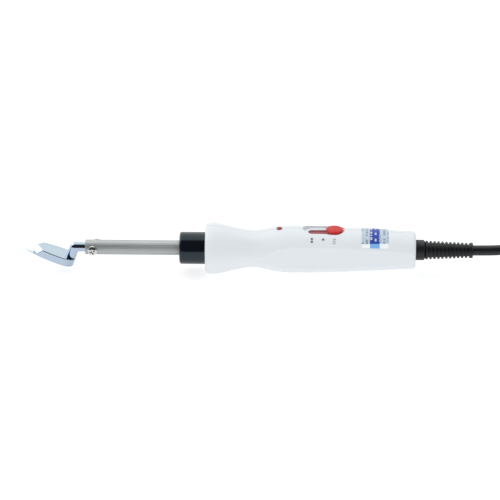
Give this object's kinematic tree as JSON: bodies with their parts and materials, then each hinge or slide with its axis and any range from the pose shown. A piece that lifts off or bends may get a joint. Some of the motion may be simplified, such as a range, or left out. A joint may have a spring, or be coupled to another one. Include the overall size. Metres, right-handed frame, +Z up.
{
  "type": "heated shoe iron with slide switch",
  "caption": "Mains hand tool with a heated leaf-shaped shoe on a cranked neck, steel barrel, white handle with slide switch and a cord folded for storage.",
  "frame": {"origin": "middle of the tool's footprint on the surface that it lies on, without its cord", "axes": "+X along the tool from the shoe to the cord, +Z up through the slide switch, XZ is the handle's parting plane"},
  "size_m": [0.4019, 0.0516, 0.0277],
  "materials": {
    "handle_plastic": "satin white",
    "collar_black": "glossy black",
    "stainless_barrel": "brushed lengthways",
    "plated_bit": "bright plating",
    "zinc_screws": "bright zinc",
    "steel_inside": "plain",
    "ceramic_former": "unglazed",
    "resistance_wire": "oxidised",
    "mica_paper": "flaky",
    "tinned_wire": "bright",
    "glass_sleeving": "woven",
    "board_laminate": "pressed paper laminate",
    "switch_black": "moulded",
    "contact_brass": "bright",
    "selector_red": "satin red",
    "lens_red": "clear red",
    "neon_glass": "clear",
    "resistor_body": "lacquered",
    "diode_body": "moulded",
    "label_print": "printed film",
    "relief_rubber": "satin",
    "cord_rubber": "satin",
    "core_insulation": "wire cover",
    "clamp_plastic": "moulded",
    "tie_black": "strap",
    "plug_black": "moulded",
    "pin_brass": "nickel plated"
  },
  "bodies": {
    "handle": {"handle_shell_near": "handle_plastic", "handle_shell_far": "handle_plastic", "shell_screws": "zinc_screws", "rating_label": "label_print", "front_collar": "collar_black", "barrel_tube": "stainless_barrel", "barrel_stop_ring": "steel_inside", "tip_holder_bush": "steel_inside", "clamp_screw_near": "zinc_screws", "clamp_screw_far": "zinc_screws", "heater_former": "ceramic_former", "heater_winding": "resistance_wire", "mica_sleeve": "mica_paper", "rear_insulator": "ceramic_former", "heater_leads": "tinned_wire", "lead_sleeves": "glass_sleeving", "circuit_board": "board_laminate", "switch_housing": "switch_black", "switch_contacts": "contact_brass", "pilot_lens": "lens_red", "neon_lamp": "neon_glass", "lamp_resistor": "resistor_body", "power_diode": "diode_body", "cord_clamp_bar": "clamp_plastic", "clamp_bar_screws": "zinc_screws", "inner_cord": "cord_rubber", "cord_cores": "core_insulation", "strain_relief": "relief_rubber", "mains_cord": "cord_rubber", "plug_lead": "cord_rubber", "cord_hank": "cord_rubber", "cord_tie": "tie_black", "plug_body": "plug_black", "plug_pins": "pin_brass"},
    "selector": {"switch_slider": "switch_black", "switch_wiper": "contact_brass", "slot_shutter": "selector_red", "switch_knob": "selector_red"},
    "bit": {"shoe_bit": "plated_bit"}
  },
  "joints": [
    {"name": "switch_slide", "type": "slide", "parent": "handle", "child": "selector", "axis": [-1, 0, 0], "range_m": [0, 0.012]},
    {"name": "bit_turn", "type": "hinge", "parent": "handle", "child": "bit", "pos_m": [-0.08, 0, 0.01387], "axis": [1, 0, 0], "continuous": true}
  ]
}
